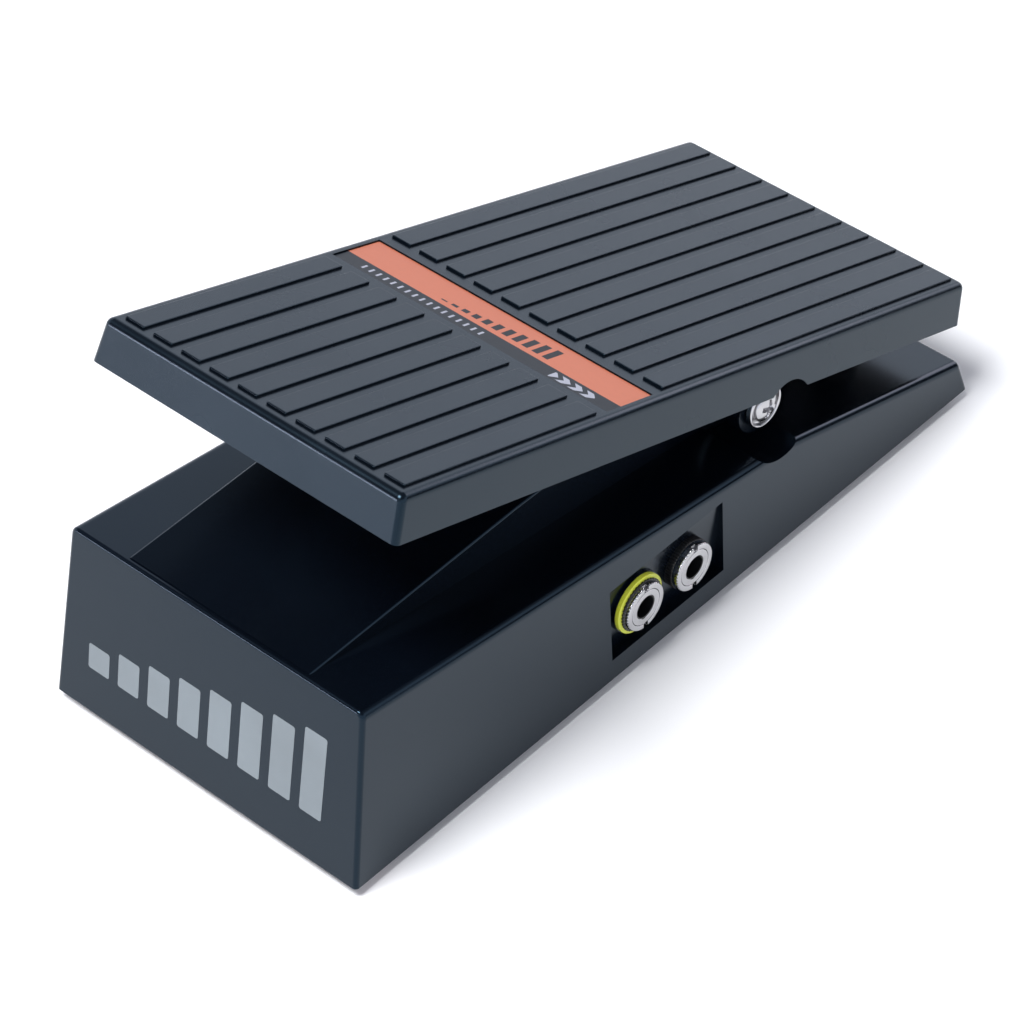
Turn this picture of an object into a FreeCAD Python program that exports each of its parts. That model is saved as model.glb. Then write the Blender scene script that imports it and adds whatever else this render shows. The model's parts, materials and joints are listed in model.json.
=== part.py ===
import FreeCAD, Part
import math
import os
import re

import Sketcher

# A volume pedal: a wedge-shaped case with a rocking treadle, a geared potentiometer and two 6.35 mm jacks.
# Frame: millimetres, +Z up, origin on the floor under the middle of the case. The toe end, which is the
# tall one, points to -Y, the heel end to +Y, and the jacks are on the +X side. The treadle is drawn
# heel down.

V = FreeCAD.Vector
ROTATION = FreeCAD.Rotation
PLACEMENT = FreeCAD.Placement

doc = FreeCAD.newDocument("VolumePedal")
sheet = doc.addObject("Spreadsheet::Sheet", "Sizes")

# ------------------------ driving dimensions, in millimetres and degrees
DRIVING = {
    # case, measured up from its lower edge, which the feet lift off the floor
    "foot_high": 3.0,
    "case_long": 250.0,
    "case_wide": 106.0,
    "toe_high": 53.4,
    "heel_high": 11.4,
    "toe_lean": 8.0,
    "side_lean": 3.0,
    "heel_lean": 4.0,
    "kink_y": 48.0,
    "kink_high": 31.0,
    "wall": 2.5,
    # raised box along the middle of the case's deck
    "hump_half": 31.0,
    "hump_high": 56.0,
    "hump_level_y": -40.0,
    "hump_toe_y": -115.2,
    "hump_brow_y": 49.0,
    "hump_foot_y": 80.0,
    # pivot, from the case's middle and its lower edge
    "pivot_y": 43.0,
    "pivot_high": 42.2,
    "trough_radius": 13.3,
    "shaft_radius": 4.0,
    "running_gap": 0.05,
    # treadle, measured from the pivot, along and square to its own top face
    "tread_tilt": 18.6,
    "tread_half": 49.0,
    "tread_toe": 157.5,
    "tread_heel": 80.1,
    "tread_top": 20.1,
    "skirt_deep": 12.5,
    "skirt_flare": 1.5,
    "toe_flare": 0.8,
    "plate_thick": 3.0,
    "skirt_thick": 2.4,
    "skirt_notch": 10.8,
    "ear_radius": 8.6,
    "ear_inside": 33.0,
    "ear_outside": 42.5,
    # raised bars of the tread
    "bar_wide": 6.4,
    "bar_pitch": 9.5,
    "bar_high": 0.7,
    "toe_bar_start": -153.8,
    "toe_bar_end": -81.2,
    "heel_bar_start": -54.7,
    "heel_bar_end": 77.4,
    # label between the two fields of bars
    "label_half": 46.4,
    "label_toe": -77.7,
    "label_heel": -59.1,
    "label_deep": 0.8,
    "label_thick": 0.4,
    # jack recess in the right wall and the jacks in it
    "recess_toe": -27.8,
    "recess_heel": 17.4,
    "recess_low": 6.5,
    "recess_top": 30.0,
    "recess_lip": 0.8,
    "recess_deep": 3.2,
    "jack_toe_y": -16.6,
    "jack_heel_y": 3.1,
    "jack_high": 18.6,
    "jack_bore": 3.25,
    "sleeve_radius": 5.45,
    "nut_radius": 7.2,
    "nut_face_x": 54.3,
    "nut_back_x": 52.4,
    # sector gear on the treadle and pinion on the potentiometer
    "gear_module": 1.0,
    "sector_pitch": 60.0,
    "pinion_pitch": 6.0,
    "mesh_angle": 15.0,
    "gear_thick": 3.0,
    "pinion_thick": 5.0,
    # bottom plate
    "plate_gap": 0.6,
    "bottom_thick": 1.6,
}
for row, (alias, value) in enumerate(DRIVING.items(), start=1):
    sheet.set(f"A{row}", alias)
    sheet.set(f"B{row}", str(value))
    sheet.setAlias(f"B{row}", alias)
doc.recompute()


# ------------------------ helpers
def size(alias):
    """A driving dimension, read from the sheet."""
    return float(sheet.get(alias))


def expr(text):
    """Turns bare aliases into references to the sheet."""
    return re.sub(r"[a-z]\w*", lambda m: "Sizes." + m[0] if m[0] in DRIVING else m[0], str(text))


def bind(thing, **sizes):
    """Binds properties to expressions; a double underscore stands for a dot."""
    for prop, text in sizes.items():
        thing.setExpression(prop.replace("__", "."), expr(text))
    return thing


def place(thing, at, turn=None):
    """Puts a feature at a point given by three expressions, after an optional turn (axis, degrees)."""
    if turn:
        thing.Placement = PLACEMENT(V(), ROTATION(V(*turn[0]), turn[1]))
    x, y, z = at
    return bind(thing, Placement__Base__x=x, Placement__Base__y=y, Placement__Base__z=z)


def box(name, x, y, z):
    """A box between pairs of expressions along each axis."""
    made = doc.addObject("Part::Box", name)
    bind(made, Length=f"({x[1]}) - ({x[0]})", Width=f"({y[1]}) - ({y[0]})", Height=f"({z[1]}) - ({z[0]})")
    return place(made, (x[0], y[0], z[0]))


def rod(name, radius, start, length, axis="Z"):
    """A cylinder from a start point along +X, +Y or +Z."""
    made = doc.addObject("Part::Cylinder", name)
    bind(made, Radius=radius, Height=length)
    turn = {"X": ((0, 1, 0), 90), "Y": ((1, 0, 0), -90), "Z": None}[axis]
    return place(made, start, turn)


def fuse(name, *pieces):
    made = doc.addObject("Part::MultiFuse", name)
    made.Shapes = list(pieces)
    return made


def group(name, *pieces):
    """Separate solids under one name."""
    made = doc.addObject("Part::Compound", name)
    made.Links = list(pieces)
    return made


def cut(name, base, *tools):
    made = doc.addObject("Part::Cut", name)
    made.Base = base
    made.Tool = tools[0] if len(tools) == 1 else group(name + "Tools", *tools)
    return made


def common(name, one, other):
    made = doc.addObject("Part::MultiCommon", name)
    made.Shapes = [one, other]
    return made


def sketch_in(body, role, points):
    """A closed polygon in one of the body's origin planes, each corner held by two bound distances."""
    plane = [f for f in body.Origin.OriginFeatures if f.Role == role][0]
    made = body.newObject("Sketcher::SketchObject", body.Name + "Sketch")
    made.AttachmentSupport = [(plane, "")]
    made.MapMode = "FlatFace"
    values = [(number(a), number(b)) for a, b in points]
    count = len(points)
    for i in range(count):
        start, end = values[i], values[(i + 1) % count]
        made.addGeometry(Part.LineSegment(V(*start, 0), V(*end, 0)))
    for i in range(count):
        made.addConstraint(Sketcher.Constraint("Coincident", i, 2, (i + 1) % count, 1))
    for i, corner in enumerate(points):
        for kind, text, value in zip(("DistanceX", "DistanceY"), corner, values[i]):
            index = made.addConstraint(Sketcher.Constraint(kind, -1, 1, i, 1, value))
            made.setExpression(f"Constraints[{index}]", expr(text))
    return made


def number(text):
    """The value of an expression in the aliases, worked out in a spare cell of the sheet."""
    sheet.set("D1", f"={text}")
    sheet.recompute()
    return float(sheet.get("D1"))


def pad(name, role, points, length):
    """A Body holding one polygon padded equally to both sides of its plane."""
    body = doc.addObject("PartDesign::Body", name)
    feature = body.newObject("PartDesign::Pad", name + "Pad")
    feature.Profile = sketch_in(body, role, points)
    feature.Midplane = True
    bind(feature, Length=length)
    return body


def turned(name, points):
    """A Body holding one polygon of (radius, height) corners revolved about its own Z axis."""
    body = doc.addObject("PartDesign::Body", name)
    profile = sketch_in(body, "XZ_Plane", points)
    feature = body.newObject("PartDesign::Revolution", name + "Turn")
    feature.Profile = profile
    feature.ReferenceAxis = (profile, ["V_Axis"])
    feature.Angle = 360
    return body


def frustum(name, low_x, low_y, high_x, high_y, z):
    """A block with a rectangle below and another above, each given as a half width and a (toe, heel) pair."""
    made = doc.addObject("Part::Wedge", name)
    bind(made, Xmin=f"-({low_x})", Xmax=low_x, X2min=f"-({high_x})", X2max=high_x)
    bind(made, Zmin=f"-({low_y[1]})", Zmax=f"-({low_y[0]})", Z2min=f"-({high_y[1]})", Z2max=f"-({high_y[0]})")
    bind(made, Ymin=0, Ymax=f"({z[1]}) - ({z[0]})")
    return place(made, (0, 0, z[0]), ((1, 0, 0), 90))


def rounded(name, base, radius_of):
    """Rounds the edges for which radius_of(edge) gives a radius."""
    doc.recompute()
    made = doc.addObject("Part::Fillet", name)
    made.Base = base
    picked = [(i, radius_of(edge)) for i, edge in enumerate(base.Shape.Edges, start=1)]
    made.Edges = [(i, radius, radius) for i, radius in picked if radius]
    return made


def tilted(thing):
    """Moves a piece drawn in the treadle's frame to the pivot and tips it heel down."""
    thing.Placement = PLACEMENT(V(), ROTATION(V(1, 0, 0), -size("tread_tilt")))
    bind(thing, Placement__Base__y="pivot_y", Placement__Base__z="pivot_high + foot_high")
    return thing


NODES = []


def node(label, thing):
    """Marks a feature as one of the pieces that are written out."""
    thing.Label = label
    NODES.append(thing)
    return thing


def both(side):
    """-1 and 1 as the words that name a left and a right piece."""
    return "Left" if side < 0 else "Right"


# ------------------------ upper case
HEAD = 1.2  # the blank wedge is this much taller than the toe, so that the deck cuts it cleanly


def case_blank(name, inset):
    """The case's outline, or its hollow when inset is the wall: leaning walls under a deck with one kink."""
    low_x = f"case_wide / 2 - {inset}"
    high_x = f"case_wide / 2 - {inset} - side_lean * {HEAD}"
    toe = f"-case_long / 2 + {inset}"
    heel = f"case_long / 2 - {inset}"
    toe_top = f"{toe} + toe_lean * {HEAD}"
    heel_top = f"{heel} - heel_lean * {HEAD} * toe_high / heel_high"
    top = f"foot_high + toe_high * {HEAD}"
    walls = frustum(name + "Walls", low_x, (toe, heel), high_x, (toe_top, heel_top), ("foot_high", top))
    run_toe = "(toe_high - kink_high) / (kink_y + case_long / 2 - toe_lean)"
    run_heel = "(kink_high - heel_high) / (case_long / 2 - heel_lean - kink_y)"
    over = 20  # how far the deck's outline runs past the kink's two ends
    far_toe = f"-case_long / 2 - {over}"
    far_heel = f"case_long / 2 + {over}"
    kink = f"foot_high + kink_high - {inset}"
    deck = pad(
        name + "Deck",
        "YZ_Plane",
        [
            (far_toe, 0),
            (far_heel, 0),
            (far_heel, f"{kink} - {run_heel} * (case_long / 2 + {over} - kink_y)"),
            ("kink_y", kink),
            (far_toe, f"{kink} + {run_toe} * (case_long / 2 + {over} + kink_y)"),
        ],
        "case_wide * 2",
    )
    return common(name, walls, deck)


def hump(name, inset):
    """The raised box on the deck, or its hollow when inset is the wall."""
    top = f"foot_high + hump_high - {inset}"
    return pad(
        name,
        "YZ_Plane",
        [
            (f"hump_toe_y + {inset}", "foot_high + 5"),
            (f"hump_foot_y - {inset} * 1.4", "foot_high + 5"),
            (f"hump_foot_y - {inset} * 1.4", f"foot_high + 14 - {inset}"),
            (f"hump_brow_y - {inset} * 0.5", top),
            ("hump_level_y", top),
            (f"hump_toe_y + {inset}", f"foot_high + toe_high + 0.1 - {inset}"),
        ],
        f"2 * (hump_half - {inset})",
    )


def case_edge_radius(edge):
    """Large rounds on the long top edges, smaller ones on the upright corners and across the toe and heel."""
    box_ = edge.BoundBox
    if box_.ZMax < size("foot_high") + 0.01:
        return 0
    across = box_.XLength > size("case_wide") / 2
    if across and box_.YMax < 0:
        return 1.0
    if across and box_.YMin > size("kink_y") + 10:
        return 1.0
    if across:
        return 0
    return 1.3 if box_.YLength < box_.ZLength else 2.2


PIVOT = ("pivot_y", "foot_high + pivot_high")
CASE_SCREWS = [(x, y) for y in (-112, 64, 109) for x in (-43, 43)]
BRACKET_SCREWS = [(-17, -36), (-17, -6)]
JACKS = {"Toe": "jack_toe_y", "Heel": "jack_heel_y"}

outside = rounded("CaseOutside", case_blank("CaseBlank", "0"), case_edge_radius)


def hump_edge_radius(edge):
    """A fine round on the hump's long top edges and its brow."""
    box_ = edge.BoundBox
    if box_.ZMin < size("foot_high") + 10 and box_.YMax < size("hump_brow_y"):
        return 0
    if box_.XLength > 1:
        return 1.2 if box_.YMin > 0 and box_.ZMin > size("foot_high") + 30 else 0
    return 0.8 if box_.YLength > 1 else 0


raised_box = rounded("CaseHumpRound", hump("CaseHump", "0"), hump_edge_radius)

outer_cuts = []
inner_keeps = []
cover_keeps = []
for side in (-1, 1):
    reach = 30
    start = "hump_half" if side > 0 else f"-hump_half - {reach}"
    outer_cuts.append(rod("Trough" + both(side), "trough_radius", (start, *PIVOT), reach, "X"))
    inner_keeps.append(rod("TroughWall" + both(side), "trough_radius + wall", (start, *PIVOT), reach, "X"))
    boss_start = "hump_half - wall - 6" if side > 0 else "-hump_half - 1"
    cover_keeps.append(rod("BushBoss" + both(side), 8.5, (boss_start, *PIVOT), "wall + 7", "X"))

wall_at_low = "case_wide / 2 - side_lean * recess_low / toe_high"
wall_at_top = "case_wide / 2 - side_lean * recess_top / toe_high"
OUT = "case_wide / 2 + 10"
recess = pad(
    "JackRecess",
    "XZ_Plane",
    [
        (f"{wall_at_top} - recess_lip", "foot_high + recess_top"),
        (f"{wall_at_low} - recess_deep", "foot_high + recess_low"),
        (OUT, "foot_high + recess_low"),
        (OUT, "foot_high + recess_top"),
    ],
    "recess_heel - recess_toe",
)
place(recess, (0, "(recess_heel + recess_toe) / 2", 0))
outer_cuts.append(recess)
recess_back = pad(
    "JackRecessBack",
    "XZ_Plane",
    [
        (f"{wall_at_top} - recess_lip - wall", "foot_high + recess_top + wall"),
        (f"{wall_at_low} - recess_deep - wall", "foot_high + recess_low - wall"),
        (OUT, "foot_high + recess_low - wall"),
        (OUT, "foot_high + recess_top + wall"),
    ],
    "recess_heel - recess_toe + 2 * wall",
)
place(recess_back, (0, "(recess_heel + recess_toe) / 2", 0))
inner_keeps.append(recess_back)

PLATE_TOP = "foot_high + plate_gap + bottom_thick"
for i, (x, y) in enumerate(CASE_SCREWS):
    inner_keeps.append(rod(f"CaseBoss{i}", 3.6, (x, y, PLATE_TOP), "hump_high"))
for i, (x, y) in enumerate(BRACKET_SCREWS):
    cover_keeps.append(rod(f"BracketBoss{i}", 3.2, (x, y, "foot_high + 45"), "hump_high - 45 - wall / 2"))

shaped_hollow = cut("CaseHollowShaped", case_blank("HollowBlank", "wall"), *inner_keeps)
passage = hump("Passage", "wall")
shell = cut("CaseShell", outside, shaped_hollow, passage, *outer_cuts)

seats = [
    rod("JackSeatToe", 9.0, ("nut_back_x - 7.4", "jack_toe_y", "foot_high + jack_high"), 6.1, "X"),
    rod("JackSeatHeel", 7.2, ("nut_back_x - 7.4", "jack_heel_y", "foot_high + jack_high"), 7.4, "X"),
]
shell_with_seats = fuse("CaseWithSeats", shell, *seats)

case_holes = []
for name, y in JACKS.items():
    start = ("nut_back_x - 10", y, "foot_high + jack_high")
    case_holes.append(rod("JackHole" + name, "sleeve_radius + 0.15", start, 14, "X"))
for i, (x, y) in enumerate(CASE_SCREWS):
    case_holes.append(rod(f"CasePilot{i}", 1.3, (x, y, PLATE_TOP), 7.5))
node("upper_case", cut("UpperCase", shell_with_seats, *case_holes))

# The raised box is a cover of its own, standing on the deck over the passage; it carries the pivot and
# the bracket.
cover_hollow = cut("CoverHollow", hump("CoverInside", "wall"), *cover_keeps)
below_deck = case_blank("BelowDeck", "0")
cover_holes = []
for side in (-1, 1):
    start = "hump_half - 12" if side > 0 else "-hump_half - 2"
    cover_holes.append(rod("BushHole" + both(side), 5.5, (start, *PIVOT), 14, "X"))
for i, (x, y) in enumerate(BRACKET_SCREWS):
    cover_holes.append(rod(f"BracketPilot{i}", 1.3, (x, y, "foot_high + 45"), 7))
SLOT_HALF = 3.5
slot_y = ("pivot_y - sector_pitch - 1.5", "pivot_y - sector_pitch + 20")
slot_z = ("foot_high + hump_high - 6", "foot_high + 60")
cover_holes.append(box("SectorSlot", (-SLOT_HALF, SLOT_HALF), slot_y, slot_z))
node("raised_cover", cut("RaisedCover", raised_box, cover_hollow, below_deck, *cover_holes))


# ------------------------ bottom plate, screws and feet
plate_low = "foot_high + plate_gap"
half_x = "case_wide / 2 - wall - 0.5"
half_y = "case_long / 2 - wall - 1.2"
plate = box("PlateBlank", (f"-({half_x})", half_x), (f"-({half_y})", half_y), (plate_low, PLATE_TOP))
plate_corners = rounded("PlateRounded", plate, lambda e: 4.0 if e.BoundBox.ZLength > 1 else 0)
plate_holes = [rod(f"PlateHole{i}", 1.7, (x, y, "foot_high"), 5) for i, (x, y) in enumerate(CASE_SCREWS)]
node("bottom_plate", cut("BottomPlate", plate_corners, *plate_holes))


def screw(name, head_radius, head_high, shank_radius, shank_long, at, turn=None):
    """A pan-head screw with a cross recess; the head's underside is at the point, the shank runs along +Z."""
    crown = head_high * 0.45
    blank = turned(
        name + "Blank",
        [
            (0, -head_high),
            (head_radius * 0.6, -head_high),
            (head_radius, -crown),
            (head_radius, 0),
            (shank_radius, 0),
            (shank_radius, shank_long - shank_radius * 0.7),
            (shank_radius * 0.3, shank_long),
            (0, shank_long),
        ],
    )
    reach = head_radius * 0.5
    half = head_radius * 0.12
    floor = (-head_high - 1, -head_high * 0.4)
    slots = [
        box(name + "SlotA", (-reach, reach), (-half, half), floor),
        box(name + "SlotB", (-half, half), (-reach, reach), floor),
    ]
    return place(cut(name, blank, fuse(name + "Slots", *slots)), at, turn)


case_screws = []
for i, (x, y) in enumerate(CASE_SCREWS):
    case_screws.append(screw(f"CaseScrew{i}", 2.9, 1.5, 1.25, 8.5, (x, y, plate_low)))
node("case_screws", group("CaseScrews", *case_screws))

FEET = [(x, y) for y in (-96, 92) for x in (-36, 36)]
feet = []
for i, (x, y) in enumerate(FEET):
    foot = turned(
        f"Foot{i}",
        [(0, 0), (7.6, 0), (8.2, 0.6), (9.0, "foot_high + plate_gap - 0.4"), (9.0, plate_low), (0, plate_low)],
    )
    feet.append(place(foot, (x, y, 0)))
node("rubber_feet", group("RubberFeet", *feet))


# ------------------------ treadle, drawn from the pivot with its top level
TOP = "tread_top"
UNDER = "tread_top - plate_thick"
LIP = "tread_top - skirt_deep"


def tread_blank(name, inset, top):
    """The tray's outline, or its hollow when inset is the skirt's thickness."""
    return frustum(
        name,
        f"tread_half + skirt_flare - {inset}",
        (f"-tread_toe - toe_flare + {inset}", f"tread_heel + toe_flare - {inset}"),
        f"tread_half - {inset}",
        (f"-tread_toe + {inset}", f"tread_heel - {inset}"),
        (LIP, top),
    )


def tread_edge_radius(edge):
    """Rounds the tray's top rim and its four corners."""
    box_ = edge.BoundBox
    if box_.ZMin > size("tread_top") - 0.01:
        return 2.0
    return 1.8 if box_.ZLength > size("skirt_deep") / 2 else 0


tray = rounded("TrayOutside", tread_blank("TrayBlank", "0", TOP), tread_edge_radius)
BAR_COUNT = 10
bars = []
for field, (start, end) in {
    "Toe": ("toe_bar_start", "toe_bar_end"),
    "Heel": ("heel_bar_start", "heel_bar_end"),
}.items():
    for i in range(BAR_COUNT):
        middle = f"bar_pitch * {i - (BAR_COUNT - 1) / 2}"
        x = (f"{middle} - bar_wide / 2", f"{middle} + bar_wide / 2")
        bars.append(box(f"{field}Bar{i}", x, (start, end), (f"{TOP} - 1", f"{TOP} + bar_high")))
bar_field = group("Bars", *bars)
bars_top = size("tread_top") + size("bar_high")


def bar_edge_radius(edge):
    """Softens the upper edges and the upright corners of the bars."""
    box_ = edge.BoundBox
    return 0.3 if box_.ZMin > bars_top - 0.01 or box_.ZLength > 1 else 0


soft_bars = rounded("SoftBars", bar_field, bar_edge_radius)

stiffeners = []
for side in (-1, 1):
    x = (38, 39.8) if side > 0 else (-39.8, -38)
    y = ("-tread_toe + 2", "tread_heel - 2")
    stiffeners.append(box("LongRib" + both(side), x, y, ("tread_top - 10", TOP + " - 1")))
for i, y in enumerate((-128, -106, -84, -30, 32, 50)):
    x = ("-tread_half + 2", "tread_half - 2")
    stiffeners.append(box(f"CrossRib{i}", x, (y - 0.9, y + 0.9), (f"{UNDER} - 1.6", TOP + " - 1")))

ears = []
for side in (-1, 1):
    x = ("ear_inside", "ear_outside") if side > 0 else ("-ear_outside", "-ear_inside")
    ears.append(rod("EarRound" + both(side), "ear_radius", (x[0], 0, 0), "ear_outside - ear_inside", "X"))
    ears.append(box("EarNeck" + both(side), x, ("-ear_radius", "ear_radius"), (0, TOP + " - 1")))

HEEL_STOP = {"x": 27.0, "y": 62.0, "post": 14.0, "rubber": 7.6}
TOE_STOP = {"x": 20.0, "y": -140.0, "rubber": 9.4}
posts = []
for side in (-1, 1):
    start = (side * HEEL_STOP["x"], HEEL_STOP["y"], f"{UNDER} - {HEEL_STOP['post']}")
    posts.append(rod("StopPost" + both(side), 5.0, start, HEEL_STOP["post"] + 1))

tray_hollow = tread_blank("TrayHollow", "skirt_thick", UNDER)
open_tray = cut("OpenTray", tray, tray_hollow)
whole_tray = fuse("WholeTray", open_tray, soft_bars, *stiffeners, *ears, *posts)
SECTOR_SCREWS = [(-5.6, -54.0), (5.6, -45.0)]
bed_x = ("-label_half", "label_half")
tray_cuts = [
    box("LabelBed", bed_x, ("label_toe", "label_heel"), (f"{TOP} - label_deep", f"{TOP} + 2")),
    rod("ShaftBore", "shaft_radius + 0.02", ("-ear_outside - 1", 0, 0), "2 * ear_outside + 2", "X"),
]
for side in (-1, 1):
    start = ("ear_outside + 2" if side > 0 else "-tread_half - 5", 0, 0)
    tray_cuts.append(rod("SkirtNotch" + both(side), "skirt_notch", start, "tread_half - ear_outside + 3", "X"))
for i, (x, y) in enumerate(SECTOR_SCREWS):
    tray_cuts.append(rod(f"SectorPilot{i}", 1.05, (x, y, f"{UNDER} - 2"), 4.4))
node("treadle", tilted(cut("Treadle", whole_tray, *tray_cuts)))

LABEL_GAP = 0.15
label = box(
    "LabelBlank",
    (f"-label_half + {LABEL_GAP}", f"label_half - {LABEL_GAP}"),
    (f"label_toe + {LABEL_GAP}", f"label_heel - {LABEL_GAP}"),
    (f"{TOP} - label_deep", f"{TOP} - label_deep + label_thick"),
)
node("label_plate", tilted(group("LabelPlate", label)))


# ------------------------ rubber stops under the treadle
def bumper(name, radius, high, at):
    """A rubber button hanging from the given point, with a slightly smaller, softened face."""
    button = turned(
        name,
        [
            (0, 0),
            (radius, 0),
            (radius, -high * 0.75),
            (radius - 0.5, -high + 0.6),
            (radius - 1.2, -high),
            (0, -high),
        ],
    )
    return place(button, at)


toe_stops = []
for side in (-1, 1):
    at = (side * TOE_STOP["x"], TOE_STOP["y"], UNDER)
    toe_stops.append(bumper("ToeStop" + both(side), 6.0, TOE_STOP["rubber"], at))
node("toe_bumpers", tilted(group("ToeBumpers", *toe_stops)))
heel_stops = []
for side in (-1, 1):
    at = (side * HEEL_STOP["x"], HEEL_STOP["y"], f"{UNDER} - {HEEL_STOP['post']}")
    heel_stops.append(bumper("HeelStop" + both(side), 5.4, HEEL_STOP["rubber"], at))
node("heel_bumpers", tilted(group("HeelBumpers", *heel_stops)))


# ------------------------ pivot: shaft, bushes, cup washers, end screws
SHAFT_TAP = 1.7
shaft = rod("ShaftBlank", "shaft_radius", ("-ear_outside", 0, 0), "2 * ear_outside", "X")
taps = [
    rod("ShaftTapLeft", SHAFT_TAP, ("-ear_outside", 0, 0), 12, "X"),
    rod("ShaftTapRight", SHAFT_TAP, ("ear_outside - 12", 0, 0), 12, "X"),
]
node("pivot_shaft", tilted(cut("PivotShaft", shaft, *taps)))

bushes = []
washers = []
end_washers = []
end_screws = []
for side in (-1, 1):
    bush = turned(
        "Bush" + both(side),
        [
            ("shaft_radius + running_gap", -8.2),
            (5.45, -8.2),
            (5.45, 0),
            (7.6, 0),
            (7.6, 1.0),
            ("shaft_radius + running_gap", 1.0),
        ],
    )
    outward = ((0, 1, 0), 90 * side)
    bushes.append(place(bush, (f"{side} * hump_half", *PIVOT), outward))
    washer = turned(
        "Friction" + both(side),
        [("shaft_radius + 0.4", 1.1), (7.2, 1.1), (7.2, 1.9), ("shaft_radius + 0.4", 1.9)],
    )
    washers.append(place(washer, (f"{side} * hump_half", *PIVOT), outward))
    end_washer = turned(
        "EndWasher" + both(side),
        [(2.2, 0), (6.5, 0), (6.5, 2.2), (5.8, 2.2), (5.3, 1.0), (2.2, 1.0)],
    )
    end_washers.append(place(end_washer, (f"{side} * ear_outside", 0, 0), outward))
    inward = ((0, 1, 0), -90 * side)
    seat = (f"{side} * (ear_outside + 1)", 0, 0)
    end_screws.append(screw("EndScrew" + both(side), 4.4, 2.4, 1.65, 9, seat, inward))
node("pivot_bushes", group("PivotBushes", *bushes))
node("friction_washers", group("FrictionWashers", *washers))
node("pivot_washers", tilted(group("PivotWashers", *end_washers)))
node("pivot_screws", tilted(group("PivotScrews", *end_screws)))


# ------------------------ gears
PRESSURE = math.radians(25)
ADDENDUM = 0.8
DEDENDUM = 1.05
BACKLASH = 0.16


def involute(angle):
    return math.tan(angle) - angle


def tooth(pitch_radius, teeth):
    """One tooth's outline about angle 0 as (radius, angle) corners, from the left root to the right root."""
    module = size("gear_module")
    base = pitch_radius * math.cos(PRESSURE)
    root = pitch_radius - DEDENDUM * module
    tip = pitch_radius + ADDENDUM * module
    half_pitch = math.pi / (2 * teeth) - BACKLASH / (2 * pitch_radius)
    steps = 5
    start = max(base, root)
    radii = [start + (tip - start) * k / steps for k in range(steps + 1)]
    flank = [(r, half_pitch + involute(PRESSURE) - involute(math.acos(base / r))) for r in radii]
    if root < base:
        flank.insert(0, (root, flank[0][1]))
    return [(r, -a) for r, a in flank] + [(r, a) for r, a in reversed(flank)]


def plate_of(corners, thick, middle_x):
    """A flat plate square to X from a closed run of (y, z) corners."""
    wire = Part.makePolygon([V(middle_x - thick / 2, y, z) for y, z in corners + corners[:1]])
    return Part.Face(wire).extrude(V(thick, 0, 0))


PINION_TEETH = round(2 * size("pinion_pitch") / size("gear_module"))
SECTOR_TEETH = round(2 * size("sector_pitch") / size("gear_module"))
mesh = math.radians(size("mesh_angle"))
centres = size("sector_pitch") + size("pinion_pitch")
pinion_y = size("pivot_y") - centres * math.cos(mesh)
pinion_z = size("foot_high") + size("pivot_high") - centres * math.sin(mesh)

# Pinion: a gap faces the pivot, so the teeth start half a pitch away from that line.
outline = []
for k in range(PINION_TEETH):
    middle = mesh + (k + 0.5) * 2 * math.pi / PINION_TEETH
    for radius, angle in tooth(size("pinion_pitch"), PINION_TEETH):
        outline.append((radius * math.cos(middle + angle), radius * math.sin(middle + angle)))
pinion = doc.addObject("Part::Feature", "Pinion")
PINION_BORE = 3.02
flat_bore = Part.makeCylinder(PINION_BORE, 20, V(-10, 0, 0), V(1, 0, 0))
pinion.Shape = plate_of(outline, size("pinion_thick"), 0).cut(flat_bore)
pinion.Placement = PLACEMENT(V(0, pinion_y, pinion_z), ROTATION())
node("pinion", pinion)

# Sector: angles are measured below the treadle's own level line, towards the toe.
at_rest = mesh + math.radians(size("tread_tilt"))
step = 2 * math.pi / SECTOR_TEETH
rim = []
for k in range(-7, 3):
    for radius, angle in tooth(size("sector_pitch"), SECTOR_TEETH):
        rim.append((radius, at_rest + k * step + angle))
inner_radius = size("sector_pitch") - 8
last = rim[-1][1]
first = rim[0][1]
sweep = [(inner_radius, last - (last - first) * k / 8) for k in range(9)]
polar = rim + [(size("sector_pitch") - DEDENDUM, last + 0.01)] + [(inner_radius, last + 0.01)] + sweep
under = size("tread_top") - size("plate_thick")
FLANGE = 2.4
arm = [(-r * math.cos(a), -r * math.sin(a)) for r, a in polar]
arm += [(-44.0, 0.0), (-42.0, under - FLANGE / 2), (-58.2, under - FLANGE / 2)]
web = plate_of(arm, size("gear_thick"), 0)
flange = Part.makeBox(17, 20, FLANGE, V(-8.5, -59.5, under - FLANGE))
sector_shape = web.fuse(flange).removeSplitter()
for x, y in SECTOR_SCREWS:
    sector_shape = sector_shape.cut(Part.makeCylinder(1.5, 10, V(x, y, under - 6)))
sector = doc.addObject("Part::Feature", "SectorGear")
sector.Shape = sector_shape
node("sector_gear", tilted(sector))
sector_screws = []
for i, (x, y) in enumerate(SECTOR_SCREWS):
    sector_screws.append(screw(f"SectorScrew{i}", 2.3, 1.2, 1.0, 4.4, (x, y, f"{UNDER} - {FLANGE}")))
node("sector_screws", tilted(group("SectorScrews", *sector_screws)))


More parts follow.
